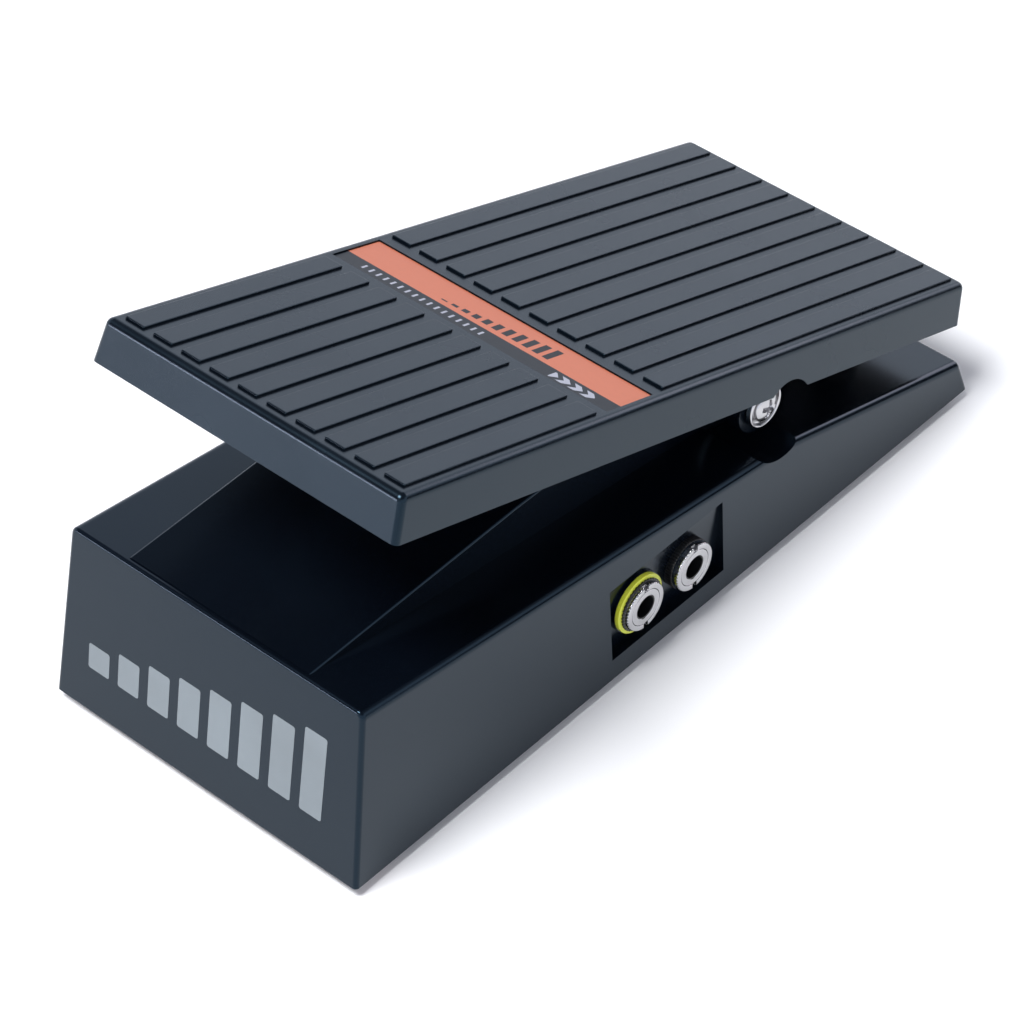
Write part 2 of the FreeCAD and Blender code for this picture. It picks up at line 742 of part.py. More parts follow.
# ------------------------ potentiometer on its bracket
POT = (pinion_y, pinion_z)
PLATE_X = -9.2  # the bracket's face that the potentiometer bears on
BRACKET = 1.2
pot_body = rod("PotCan", 8.5, (PLATE_X - 9.0, *POT), 9.0, "X")
pot_thread = rod("PotThread", 3.5, (PLATE_X, *POT), 5.4, "X")
tab = box("PotTab", (PLATE_X - 3.2, PLATE_X - 1.6), (POT[0] - 15, POT[0] - 7), (POT[1] - 7, POT[1] + 7))
pot_bore = rod("PotBore", "3 + running_gap", (PLATE_X - 3.5, *POT), 20, "X")
node("pot_can", cut("PotCanBored", fuse("PotCanWhole", pot_body, pot_thread, tab), pot_bore))
node("pot_shaft", group("PotShaft", rod("PotSpindle", 3.0, (PLATE_X - 3.4, *POT), 15.4, "X")))

lugs = []
LUG_PITCH = 5.0
for i in (-1, 0, 1):
    z = POT[1] + LUG_PITCH * i
    x = (PLATE_X - 1.6, PLATE_X - 1.1)
    lugs.append(box(f"Lug{i + 1}", x, (POT[0] - 18.5, POT[0] - 9.5), (z - 1.1, z + 1.1)))
node("pot_lugs", group("PotLugs", *lugs))

washer = turned("PotWasherRing", [(3.6, 0), (5.6, 0), (5.6, 0.5), (3.6, 0.5)])
node("pot_washer", place(washer, (PLATE_X + BRACKET, *POT), ((0, 1, 0), 90)))
nut = doc.addObject("Part::Prism", "PotNutBlank")
nut.Polygon = 6
bind(nut, Circumradius=5.8, Height=2)
place(nut, (PLATE_X + BRACKET + 0.5, *POT), ((0, 1, 0), 90))
nut_bore = rod("PotNutBore", 3.52, (PLATE_X, *POT), 8, "X")
node("pot_nut", cut("PotNut", nut, nut_bore))

SEAT_Z = "foot_high + 45"
upright = box("BracketUpright", (PLATE_X, PLATE_X + BRACKET), (POT[0] - 13, POT[0] + 13), (POT[1] - 11, SEAT_Z))
shelf = box("BracketShelf", (-21, PLATE_X + BRACKET), (-40.5, -1.5), (f"{SEAT_Z} - {BRACKET}", SEAT_Z))
bracket_holes = [rod("BracketPotHole", 3.6, (PLATE_X - 1, *POT), 4, "X")]
bracket_screws = []
for i, (x, y) in enumerate(BRACKET_SCREWS):
    bracket_holes.append(rod(f"BracketHole{i}", 1.6, (x, y, "foot_high + 40"), 8))
    bracket_screws.append(screw(f"BracketScrew{i}", 2.6, 1.4, 1.25, 6.5, (x, y, f"{SEAT_Z} - {BRACKET}")))
node("pot_bracket", cut("PotBracket", fuse("BracketBlank", upright, shelf), *bracket_holes))
node("bracket_screws", group("BracketScrews", *bracket_screws))


# ------------------------ jacks
JACK_Z = "foot_high + jack_high"
BODY_FRONT = "nut_back_x - 7.4"
BODY_LONG = 24.0
BODY_HALF = 7.8
SLEEVE_IN = 3.0
FACE_RUN = "7.4 + nut_face_x - nut_back_x"
bodies = []
sleeves = []
springs = []
nuts = []
for name, y in JACKS.items():
    block = box(
        "JackBlock" + name,
        (f"{BODY_FRONT} - {BODY_LONG}", BODY_FRONT),
        (f"{y} - {BODY_HALF}", f"{y} + {BODY_HALF}"),
        (f"{JACK_Z} - {BODY_HALF}", f"{JACK_Z} + {BODY_HALF}"),
    )
    hollow_x = f"{BODY_FRONT} - {BODY_LONG - 1.5}"
    mouth = (f"{BODY_FRONT} - {SLEEVE_IN}", y, JACK_Z)
    tools = [
        rod("JackWell" + name, "jack_bore", (hollow_x, y, JACK_Z), BODY_LONG, "X"),
        rod("JackMouth" + name, "sleeve_radius + 0.02", mouth, SLEEVE_IN + 1, "X"),
        box(
            "JackSlot" + name,
            (f"{BODY_FRONT} - 20", f"{BODY_FRONT} - 6"),
            (f"{y} - 1.6", f"{y} + 1.6"),
            (f"{JACK_Z} + 2.6", f"{JACK_Z} + {BODY_HALF} + 1"),
        ),
    ]
    bodies.append(cut("JackBody" + name, block, *tools))
    sleeve = turned(
        "Sleeve" + name,
        [
            ("jack_bore", -SLEEVE_IN),
            ("sleeve_radius", -SLEEVE_IN),
            ("sleeve_radius", f"{FACE_RUN} - 0.4"),
            ("sleeve_radius - 0.3", f"{FACE_RUN} - 0.1"),
            ("jack_bore + 0.4", f"{FACE_RUN} - 0.1"),
            ("jack_bore", f"{FACE_RUN} - 0.5"),
        ],
    )
    sleeves.append(place(sleeve, (BODY_FRONT, y, JACK_Z), ((0, 1, 0), 90)))
    springs.append(
        box(
            "Spring" + name,
            (f"{BODY_FRONT} - 19", f"{BODY_FRONT} - 7"),
            (f"{y} - 1.2", f"{y} + 1.2"),
            (f"{JACK_Z} + jack_bore + 0.4", f"{JACK_Z} + jack_bore + 0.8"),
        )
    )
    ring = turned(
        "RingNut" + name,
        [
            ("sleeve_radius + 0.03", 0),
            ("nut_radius", 0),
            ("nut_radius", "nut_face_x - nut_back_x - 0.5"),
            ("nut_radius - 0.5", "nut_face_x - nut_back_x"),
            ("sleeve_radius + 0.03", "nut_face_x - nut_back_x"),
        ],
    )
    spanner = box("Spanner" + name, ("-nut_radius - 1", "nut_radius + 1"), (-0.8, 0.8), (0.9, 4))
    nuts.append(place(cut("SlottedNut" + name, ring, spanner), ("nut_back_x", y, JACK_Z), ((0, 1, 0), 90)))
node("jack_bodies", group("JackBodies", *bodies))
node("jack_sleeves", group("JackSleeves", *sleeves))
node("jack_springs", group("JackSprings", *springs))
node("jack_nuts", group("JackNuts", *nuts))
tag_bore = "sleeve_radius + 0.1"
tag = turned("JackTagRing", [(tag_bore, -1.3), (8.7, -1.3), (8.7, -0.2), (8.4, 0), (tag_bore, 0)])
node("jack_tag", place(tag, ("nut_back_x", "jack_toe_y", JACK_Z), ((0, 1, 0), 90)))


# ------------------------ circuit board, its parts and the wires
BOARD_TOP = f"{JACK_Z} - {BODY_HALF}"
BOARD = 1.6
board = box("BoardBlank", (15, 43.5), (-31, 15), (f"{BOARD_TOP} - {BOARD}", BOARD_TOP))
node("circuit_board", group("CircuitBoard", board))
header = box("HeaderBlock", (15.6, 19.4), (-29.5, -20.5), (BOARD_TOP, f"{BOARD_TOP} + 6"))
node("board_header", group("BoardHeader", header))
resistors = []
for i in range(3):
    resistors.append(rod(f"Resistor{i}", 0.9, (17.3, -14 + 8 * i, f"{BOARD_TOP} + 0.95"), 5, "Y"))
node("board_resistors", group("BoardResistors", *resistors))
pins = []
for name, y in JACKS.items():
    for i, x in enumerate((24, 31, 38)):
        at = (x, f"{y} + {4 * (-1) ** i}", f"{BOARD_TOP} - {BOARD} - 1.2")
        pins.append(rod(f"Solder{name}{i}", 0.9, at, 1.2))
node("solder_joints", group("SolderJoints", *pins))


def tube(points, radius):
    """A round tube along straight runs joined by tangent arcs, as large as each pair of runs allows."""
    points = [V(*p) for p in points]
    edges = []
    start = points[0]
    for before, corner, after in zip(points, points[1:], points[2:]):
        into = (corner - before).normalize()
        out = (after - corner).normalize()
        half_turn = into.getAngle(out) / 2
        shorter = min(corner.distanceToPoint(before), corner.distanceToPoint(after))
        setback = 0.45 * shorter
        entry = corner - into * setback
        leave = corner + out * setback
        bend = setback / math.tan(half_turn)
        centre_way = (out - into).normalize()
        middle = corner + centre_way * (bend / math.cos(half_turn) - bend)
        edges += [Part.LineSegment(start, entry).toShape(), Part.Arc(entry, middle, leave).toShape()]
        start = leave
    edges.append(Part.LineSegment(start, points[-1]).toShape())
    path = Part.Wire(edges)
    way = (points[1] - points[0]).normalize()
    section = Part.Wire(Part.makeCircle(radius, points[0], way))
    solid = path.makePipeShell([section], True, True)
    return solid


WIRE = 0.65  # the radius over the wire's insulation
lug_tip = POT[0] - 18.5
board_top = number(BOARD_TOP)
wires = []
for i in (-1, 0, 1):
    z = POT[1] + LUG_PITCH * i
    spread = 2.6 * i
    route = [
        (PLATE_X - 1.35, lug_tip, z),
        (PLATE_X - 1.35, lug_tip - 8, z),
        (PLATE_X + 4, lug_tip - 15, z * 0.55 + 6 + spread * 0.4),
        (4, lug_tip - 15 + spread * 0.3, 15.5 + spread * 0.7),
        (13, lug_tip - 8 + spread, 16.5 + spread * 0.3),
        (17.5, -36.0, board_top + 3 + spread * 0.7),
        (17.5, -29.5, board_top + 3 + spread * 0.7),
    ]
    wire = doc.addObject("Part::Feature", f"Wire{i + 1}")
    wire.Shape = tube(route, WIRE)
    wires.append(wire)
node("pot_wires", group("PotWires", *wires))


# ------------------------ check and write
doc.recompute()
for thing in doc.Objects:
    for bad in ("Invalid", "Error"):
        if bad in thing.State:
            raise RuntimeError(f"{thing.Name} ({thing.Label}) is {thing.State}")
os.makedirs("parts", exist_ok=True)
for old in os.listdir("parts"):
    os.remove(os.path.join("parts", old))
for thing in NODES:
    shape = thing.Shape
    if shape.isNull() or not shape.isValid():
        raise RuntimeError(f"{thing.Label} has no valid shape")
    if not shape.Solids:
        raise RuntimeError(f"{thing.Label} holds no solid")
    print(f"{thing.Label}: {len(shape.Solids)} solid(s), {shape.Volume:.0f} mm3")
    shape.exportStep(os.path.join("parts", thing.Label + ".step"))
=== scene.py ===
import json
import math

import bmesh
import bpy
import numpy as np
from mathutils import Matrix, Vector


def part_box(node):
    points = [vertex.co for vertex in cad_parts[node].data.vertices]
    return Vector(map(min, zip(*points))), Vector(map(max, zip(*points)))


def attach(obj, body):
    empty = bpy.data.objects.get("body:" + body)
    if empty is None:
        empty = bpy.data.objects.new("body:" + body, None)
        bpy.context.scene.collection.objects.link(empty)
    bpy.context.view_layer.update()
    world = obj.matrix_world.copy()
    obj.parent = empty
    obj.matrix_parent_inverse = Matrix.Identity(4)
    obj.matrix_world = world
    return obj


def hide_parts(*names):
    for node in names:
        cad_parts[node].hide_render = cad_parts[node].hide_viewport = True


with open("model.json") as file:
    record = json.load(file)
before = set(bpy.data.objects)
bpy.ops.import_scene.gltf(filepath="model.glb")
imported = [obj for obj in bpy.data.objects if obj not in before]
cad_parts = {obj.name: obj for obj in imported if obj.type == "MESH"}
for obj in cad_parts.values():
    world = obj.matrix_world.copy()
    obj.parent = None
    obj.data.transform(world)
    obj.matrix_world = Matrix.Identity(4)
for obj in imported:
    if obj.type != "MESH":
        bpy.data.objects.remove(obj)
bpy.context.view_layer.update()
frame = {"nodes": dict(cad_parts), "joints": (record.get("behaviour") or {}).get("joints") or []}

# %% [markdown]
# # A volume pedal, piece by piece
# The pedal is a leaning wedge of moulded plastic with a ribbed treadle that rocks on a steel shaft. Its
# engineering model is already loaded above: every solid is in metres, in place, and rides on a body that
# a joint can turn. This notebook gives those solids their finishes, swaps the small turned parts for
# finer surfaces, adds the printed marks, and sets up the floor, the lights and the camera.

MM = 0.001
hinge = next(j for j in frame["joints"] if j["name"] == "treadle_tilt")
PIVOT = np.array(hinge["pos_m"])
TILT = math.radians(18.6)
TREADLE_AXES = np.array(
    [[1, 0, 0], [0, math.cos(TILT), -math.sin(TILT)], [0, math.sin(TILT), math.cos(TILT)]]
)
scene = bpy.context.scene

# %% [markdown]
# ## Surfaces from numbers
# A shape that a lathe or a press makes is easy to say as a formula: a point for every pair of parameters.
# It could be modelled by hand with extrusions, but a grid of points worked out as whole arrays is exact,
# repeats without effort, and can be changed by one number. Every new piece below is such a grid, closed
# at its seams.


# %% A grid of points becomes a mesh
def mesh_from_grids(name, grids, body, material, wrap=(True, False)):
    """One mesh from (rows, columns, 3) grids: each face joins four neighbours, and seams are merged."""
    corners, faces, start = [], [], 0
    for grid in grids:
        rows, columns = grid.shape[:2]
        index = np.arange(rows * columns).reshape(rows, columns) + start
        if wrap[0]:
            index = np.vstack([index, index[:1]])
        if wrap[1]:
            index = np.hstack([index, index[:, :1]])
        quads = np.stack([index[:-1, :-1], index[1:, :-1], index[1:, 1:], index[:-1, 1:]], axis=-1)
        corners.append(grid.reshape(-1, 3))
        faces.append(quads.reshape(-1, 4))
        start += rows * columns
    mesh = bpy.data.meshes.new(name)
    mesh.from_pydata(np.vstack(corners).tolist(), [], np.vstack(faces).tolist())
    return finish_piece(name, mesh, body, material)


def finish_piece(name, mesh, body, material, crease=35):
    """Merges doubled points, turns faces outwards, shades softly below the crease angle, and rides a body."""
    work = bmesh.new()
    work.from_mesh(mesh)
    bmesh.ops.remove_doubles(work, verts=work.verts, dist=2e-7)
    bmesh.ops.dissolve_degenerate(work, dist=1e-7, edges=work.edges)
    bmesh.ops.recalc_face_normals(work, faces=work.faces)
    work.to_mesh(mesh)
    work.free()
    mesh.shade_smooth()
    mesh.set_sharp_from_angle(angle=math.radians(crease))
    mesh.materials.append(material)
    piece = bpy.data.objects.new(name, mesh)
    scene.collection.objects.link(piece)
    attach(piece, body)
    print(f"{name}: {len(mesh.polygons)} faces on {body}")
    return piece


# %% Turning, aiming and tilting whole arrays
def turned(profile, steps=96, ripple=None):
    """Carries (radius, height) points round Z: x = r cos a, y = r sin a, with r and z changed by ripple."""
    profile = np.asarray(profile, float)
    angle = np.linspace(0, 2 * np.pi, steps, endpoint=False)[:, None]
    radius = np.repeat(profile[None, :, 0], steps, axis=0)
    height = np.repeat(profile[None, :, 1], steps, axis=0)
    if ripple:
        radius, height = ripple(radius, height, angle)
    return np.stack([radius * np.cos(angle), radius * np.sin(angle), height], axis=-1)


def aimed(points, place, axis):
    """Turns local Z onto a signed axis, such as +X, and moves the points to their place in millimetres."""
    z = np.array({"+X": (1, 0, 0), "-X": (-1, 0, 0), "+Z": (0, 0, 1), "-Z": (0, 0, -1)}[axis], float)
    y = np.array((0, 0, 1), float) if abs(z[0]) else np.array((0, 1, 0), float)
    x = np.cross(y, z)
    return (points @ np.stack([x, y, z]) + np.asarray(place, float)) * MM


def on_treadle(points):
    """From the treadle's own frame, in metres from the pivot with its top level, to its place heel down."""
    return points @ TREADLE_AXES + PIVOT


def softened(profile, radius=0.25, steps=4):
    """Rounds a closed outline: (1-t)^2 a + 2t(1-t) corner + t^2 b, with a and b on a corner's two sides."""
    profile = np.asarray(profile, float)
    before, after = np.roll(profile, 1, axis=0), np.roll(profile, -1, axis=0)
    reach_in = np.linalg.norm(before - profile, axis=1)[:, None]
    reach_out = np.linalg.norm(after - profile, axis=1)[:, None]
    a = profile + (before - profile) * np.minimum(radius / reach_in, 0.45)
    b = profile + (after - profile) * np.minimum(radius / reach_out, 0.45)
    t = np.linspace(0, 1, steps)[None, :, None]
    curve = (1 - t) ** 2 * a[:, None] + 2 * t * (1 - t) * profile[:, None] + t**2 * b[:, None]
    return curve.reshape(-1, 2)


# %% [markdown]
# ## Finishes that several materials share
# Moulded plastic, rubber and plated steel all show the same few effects: a fine grain, edges that are
# rubbed a little smoother, and a breath of dust on what faces up. Each effect is a node group with named
# sockets, built once, so every material can have its own strength of it. A group puts out only masks and
# heights; the shader that uses them stays in the material, where its gloss can be read when the pedal is
# exported.


# %% A small helper for node trees
class Net:
    """Adds nodes to a tree: a plain value is set on an input, and a socket is linked to it."""

    def __init__(self, tree):
        self.tree = tree

    def add(self, kind, inputs=None, **settings):
        node = self.tree.nodes.new("ShaderNode" + kind)
        for name, value in settings.items():
            setattr(node, name, value)
        for key, value in (inputs or {}).items():
            self.put(value, node.inputs[key])
        return node

    def put(self, value, socket):
        if isinstance(value, bpy.types.NodeSocket):
            self.tree.links.new(value, socket)
        else:
            socket.default_value = value

    def sum(self, operation, *values, clamp=False):
        node = self.add("Math", dict(enumerate(values)), operation=operation, use_clamp=clamp)
        return node.outputs[0]

    def blend(self, mask, first, second):
        node = self.add("Mix", {0: mask}, data_type="RGBA")
        self.put(first, node.inputs[6])
        self.put(second, node.inputs[7])
        return node.outputs[2]

    def noise(self, position, scale, detail=2.0, roughness=0.5):
        inputs = {"Vector": position, "Scale": scale, "Detail": detail, "Roughness": roughness}
        return self.add("TexNoise", inputs).outputs["Fac"]

    def spread(self, value, low, high, bottom, top=1.0):
        inputs = {"Value": value, "From Min": low, "From Max": high, "To Min": bottom, "To Max": top}
        return self.add("MapRange", inputs).outputs["Result"]


def effect(name, inputs, outputs):
    """A new node group with named inputs {label: (kind, value)} and outputs, and the sockets inside it."""
    group = bpy.data.node_groups.new(name, "ShaderNodeTree")
    for label, (kind, value) in inputs.items():
        socket = group.interface.new_socket(label, in_out="INPUT", socket_type="NodeSocket" + kind)
        if value is not None:
            socket.default_value = value
    for label in outputs:
        group.interface.new_socket(label, in_out="OUTPUT", socket_type="NodeSocketFloat")
    entry = group.nodes.new("NodeGroupInput").outputs
    way_out = group.nodes.new("NodeGroupOutput").inputs
    return group, Net(group), entry, way_out


# %% Moulded grain
# The spark-eroded texture of a mould: a fine pebble, and under it a slow unevenness in the gloss.
GRAIN, net, given, out = effect(
    "Moulded grain",
    {"Position": ("Vector", None), "Pebbles per metre": ("Float", 2600.0)},
    ["Height", "Mottle"],
)
pebbles = given["Pebbles per metre"]
fine = net.noise(given["Position"], pebbles, 3.0, 0.6)
cells = net.add("TexVoronoi", {"Vector": given["Position"], "Scale": pebbles}).outputs["Distance"]
net.put(net.sum("ADD", net.sum("MULTIPLY", fine, 0.7), net.sum("MULTIPLY", cells, 0.3)), out["Height"])
net.put(net.noise(given["Position"], 38.0, 3.0, 0.55), out["Mottle"])

# %% Rubbed edges
# Where two faces meet, hands and shoes polish the plastic first. A rounded normal differs from the true
# one only near an edge, so how far the two part is a mask of the edges, broken up by noise.
EDGES, net, given, out = effect(
    "Rubbed edges",
    {"Position": ("Vector", None), "Width": ("Float", 0.0008), "Amount": ("Float", 1.0)},
    ["Mask"],
)
soft_normal = net.add("Bevel", {"Radius": given["Width"]}, samples=4).outputs[0]
true_normal = net.add("NewGeometry").outputs["Normal"]
same = net.add("VectorMath", {0: soft_normal, 1: true_normal}, operation="DOT_PRODUCT").outputs["Value"]
parted = net.sum("MULTIPLY", net.sum("SUBTRACT", 1.0, same), 6.0, clamp=True)
patches = net.spread(net.noise(given["Position"], 210.0, 4.0), 0.35, 0.7, 0.25)
rubbed = net.sum("MULTIPLY", parted, patches)
net.put(net.sum("MULTIPLY", rubbed, given["Amount"], clamp=True), out["Mask"])

# %% Settled dust
# Dust lies on what faces up and drifts in patches.
DUST, net, given, out = effect(
    "Settled dust", {"Position": ("Vector", None), "Amount": ("Float", 0.1)}, ["Mask"]
)
up = net.add("SeparateXYZ", {0: net.add("NewGeometry").outputs["Normal"]}).outputs["Z"]
lying = net.sum("POWER", net.sum("MAXIMUM", up, 0.0), 3.0)
drift = net.spread(net.noise(given["Position"], 24.0, 5.0, 0.65), 0.35, 0.75, 0.2)
specks = net.spread(net.noise(given["Position"], 1900.0, 1.0), 0.66, 0.74, 0.25)
settled = net.sum("MULTIPLY", lying, net.sum("MULTIPLY", drift, specks))
net.put(net.sum("MULTIPLY", settled, given["Amount"], clamp=True), out["Mask"])

# %% Drawn lines
# Ground, drawn or turned metal has fine lines along one direction: noise that is stretched by the Stretch
# vector.
LINES, net, given, out = effect(
    "Drawn lines",
    {"Position": ("Vector", None), "Stretch": ("Vector", (1.0, 1.0, 1.0))},
    ["Height", "Tarnish"],
)
stretched = net.add("VectorMath", {0: given["Position"], 1: given["Stretch"]}, operation="MULTIPLY")
net.put(net.noise(stretched.outputs[0], 900.0, 4.0, 0.7), out["Height"])
net.put(net.noise(given["Position"], 160.0, 4.0, 0.6), out["Tarnish"])
print("effects:", [g.name for g in bpy.data.node_groups])

# %% [markdown]
# ## Materials
# The case and the treadle are one kind of moulded plastic, nearly black with a little blue in it. Almost
# all of their slate tone is the pale room reflected in a satin surface, so the colour underneath has to
# be very dark and the gloss has to be right. A lighter paint without that gloss would look chalky from
# every other side.


# %% A plastic or rubber with grain, edges and dust
GRAIN_HIGH = 0.00002
DUST_TONE = (0.32, 0.31, 0.29, 1.0)


def new_material(name):
    """A material with its node helper, its shader and the position that every pattern reads."""
    material = bpy.data.materials.new(name)
    material.use_nodes = True
    net = Net(material.node_tree)
    shader = material.node_tree.nodes["Principled BSDF"]
    position = net.add("TexCoord").outputs["Object"]
    return material, net, shader, position


def opaque(colour, scale=1.0, lift=0.0):
    """A colour made lighter or darker, kept under white, with full alpha."""
    return [min(1.0, part * scale + lift) for part in colour] + [1.0]


def use(net, group, **inputs):
    """Places an effect group and sets or links its inputs; a word's underscore stands for a space."""
    node = net.add("Group", node_tree=group)
    for label, value in inputs.items():
        net.put(value, node.inputs[label.replace("_", " ")])
    return node.outputs


def moulded(name, colour, rough, pebbles=2600.0, depth=0.02, edge=0.5, dust=0.05, mottle=0.12, **gloss):
    """Satin plastic: rough and mottle set the gloss, depth the grain, edge and dust the traces of use."""
    material, net, shader, position = new_material(name)
    grain = use(net, GRAIN, Position=position, Pebbles_per_metre=pebbles)
    rubbed = use(net, EDGES, Position=position, Amount=edge)["Mask"]
    dusty = use(net, DUST, Position=position, Amount=dust)["Mask"]
    base = net.blend(grain["Mottle"], opaque(colour, 0.8), opaque(colour, 1.2))
    worn = net.blend(rubbed, base, opaque(colour, 1.8, 0.006))
    net.put(net.blend(dusty, worn, DUST_TONE), shader.inputs["Base Color"])
    uneven = net.sum("ADD", rough - mottle / 2, net.sum("MULTIPLY", grain["Mottle"], mottle))
    polished = net.sum("SUBTRACT", uneven, net.sum("MULTIPLY", rubbed, rough * 0.3))
    net.put(net.sum("ADD", polished, net.sum("MULTIPLY", dusty, 0.5), clamp=True), shader.inputs["Roughness"])
    bump = net.add("Bump", {"Strength": depth * 10, "Distance": GRAIN_HIGH, "Height": grain["Height"]})
    net.put(bump.outputs[0], shader.inputs["Normal"])
    for label, value in gloss.items():
        shader.inputs[label.replace("_", " ")].default_value = value
    return material


# %% A metal with drawn lines and a little tarnish
def plated(name, colour, rough, stretch=(1.0, 1.0, 1.0), depth=0.02, tarnish=0.3):
    """Bare or plated metal: stretch gives the direction of its lines, tarnish how far its tone wanders."""
    material, net, shader, position = new_material(name)
    lines = use(net, LINES, Position=position, Stretch=stretch)
    rubbed = use(net, EDGES, Position=position, Width=0.0003)["Mask"]
    tone = net.blend(lines["Tarnish"], opaque(colour, 1 - tarnish), opaque(colour))
    net.put(net.blend(rubbed, tone, opaque(colour, 1.1)), shader.inputs["Base Color"])
    wander = net.sum("MULTIPLY", lines["Tarnish"], rough * 0.6)
    net.put(net.sum("ADD", rough * 0.7, wander, clamp=True), shader.inputs["Roughness"])
    bump = net.add("Bump", {"Strength": depth * 10, "Distance": GRAIN_HIGH, "Height": lines["Height"]})
    net.put(bump.outputs[0], shader.inputs["Normal"])
    shader.inputs["Metallic"].default_value = 1.0
    return material


# %% The pedal's palette
# The plastic's own reflection is tinted blue and a little weak; the treadle's is a touch stronger than
# the case's.
SLATE = (0.0014, 0.0026, 0.0052)
SHEEN = {"Specular_IOR_Level": 0.35, "Specular_Tint": (0.42, 0.72, 1.0, 1.0)}
GLOSS = {"Specular_IOR_Level": 0.42, "Specular_Tint": (0.46, 0.76, 1.0, 1.0)}
case_plastic = moulded(
    "Housing plastic", SLATE, 0.2, depth=0.012, mottle=0.05, edge=0.08, dust=0.008, **SHEEN
)
tread_plastic = moulded(
    "Tread plastic", SLATE, 0.26, pebbles=2100.0, depth=0.05, edge=0.1, dust=0.012, **GLOSS
)
black_nylon = moulded("Black nylon", (0.006, 0.006, 0.007), 0.3, depth=0.02, dust=0.0)
acetal = moulded("Acetal", (0.72, 0.71, 0.66), 0.35, depth=0.02, edge=0.1, dust=0.0, Subsurface_Weight=0.15)
tag_plastic = moulded("Tag plastic", (0.56, 0.6, 0.045), 0.32, depth=0.02, edge=0.2, dust=0.0)
nylon = moulded("Header nylon", (0.75, 0.72, 0.64), 0.35, edge=0.1, dust=0.0)
lacquer = moulded("Resistor lacquer", (0.55, 0.4, 0.24), 0.25, edge=0.0, dust=0.0)
pvc = moulded("Wire sleeve", (0.4, 0.03, 0.025), 0.4, edge=0.0, dust=0.0)
PEBBLED = {"pebbles": 3200.0, "depth": 0.08, "edge": 0.6}
rubber = moulded("Foot rubber", (0.022, 0.022, 0.023), 0.7, dust=0.1, **PEBBLED)
stop_rubber = moulded("Stop rubber", (0.026, 0.026, 0.027), 0.75, dust=0.05, **PEBBLED)
powder = moulded("Powder coat", (0.014, 0.014, 0.015), 0.5, pebbles=1500.0, depth=0.12, edge=0.8, dust=0.04)
nickel = plated("Bright nickel", (0.6, 0.595, 0.61), 0.17, depth=0.05, tarnish=0.3)
ground_steel = plated("Ground steel", (0.6, 0.6, 0.6), 0.22, stretch=(1.0, 14.0, 14.0))
zinc = plated("Zinc plate", (0.66, 0.66, 0.63), 0.26, tarnish=0.4)
can_metal = plated("Stamped can", (0.7, 0.7, 0.71), 0.3)
tin = plated("Tin", (0.8, 0.8, 0.79), 0.25)
print("materials:", [m.name for m in bpy.data.materials])


# %% Circuit board with its tracks under green lacquer
def board_material():
    """Tracks are the joints of a brick pattern, a shade lighter and raised by their copper."""
    material, net, shader, position = new_material("Board lacquer")
    bricks = {"Vector": position, "Scale": 260.0, "Mortar Size": 0.045, "Mortar Smooth": 0.2}
    tracks = net.add("TexBrick", bricks, offset=0.35).outputs["Fac"]
    cloud = net.noise(position, 60.0, 3.0)
    lacquer_tone = net.blend(cloud, (0.008, 0.06, 0.025, 1.0), (0.012, 0.085, 0.035, 1.0))
    net.put(net.blend(tracks, lacquer_tone, (0.03, 0.16, 0.06, 1.0)), shader.inputs["Base Color"])
    net.put(net.sum("ADD", 0.22, net.sum("MULTIPLY", cloud, 0.1)), shader.inputs["Roughness"])
    bump = net.add("Bump", {"Strength": 0.5, "Distance": 0.00004, "Height": tracks})
    net.put(bump.outputs[0], shader.inputs["Normal"])
    return material


# %% Each solid gets its finish
finishes = {
    "upper_case": case_plastic,
    "raised_cover": case_plastic,
    "bottom_plate": powder,
    "treadle": tread_plastic,
    "toe_bumpers": stop_rubber,
    "heel_bumpers": stop_rubber,
    "pivot_shaft": ground_steel,
    "pivot_bushes": acetal,
    "friction_washers": acetal,
    "pinion": acetal,
    "sector_gear": acetal,
    "pot_can": can_metal,
    "pot_shaft": ground_steel,
    "pot_lugs": tin,
    "pot_washer": nickel,
    "pot_nut": nickel,
    "pot_bracket": zinc,
    "jack_bodies": black_nylon,
    "jack_springs": tin,
    "jack_tag": tag_plastic,
    "circuit_board": board_material(),
    "board_header": nylon,
    "board_resistors": lacquer,
    "solder_joints": tin,
    "pot_wires": pvc,
}
for node, material in finishes.items():
    mesh = frame["nodes"][node].data
    mesh.materials.clear()
    mesh.materials.append(material)
print("finished solids:", len(finishes))

# %% [markdown]
# ## Jack sockets
# Each jack has a threaded sleeve with a flat face and a black-lined bore, held by a ring nut. The real
# nut is turned from brass, its rim knurled, a spanner slot milled across its face, and then nickel
# plated. A flat ring would look cast, so the rim's radius ripples with a triangle wave, and the face
# drops to the slot's floor where it crosses it.

# %% Ring nuts
low, high = (np.array(corner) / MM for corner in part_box("jack_nuts"))
NUT_BACK, NUT_FACE = low[0], high[0]
NUT_THICK = NUT_FACE - NUT_BACK
NUT_RADIUS = (high[2] - low[2]) / 2
JACK_Z = (high[2] + low[2]) / 2
JACK_Y = (low[1] + NUT_RADIUS, high[1] - NUT_RADIUS)
sleeve_low, sleeve_high = (np.array(corner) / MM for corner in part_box("jack_sleeves"))
SLEEVE_RADIUS = (sleeve_high[2] - sleeve_low[2]) / 2
KNURLS = 44
KNURL_DEEP = 0.24
SLOT_HALF, SLOT_DEEP = 0.75, 1.1


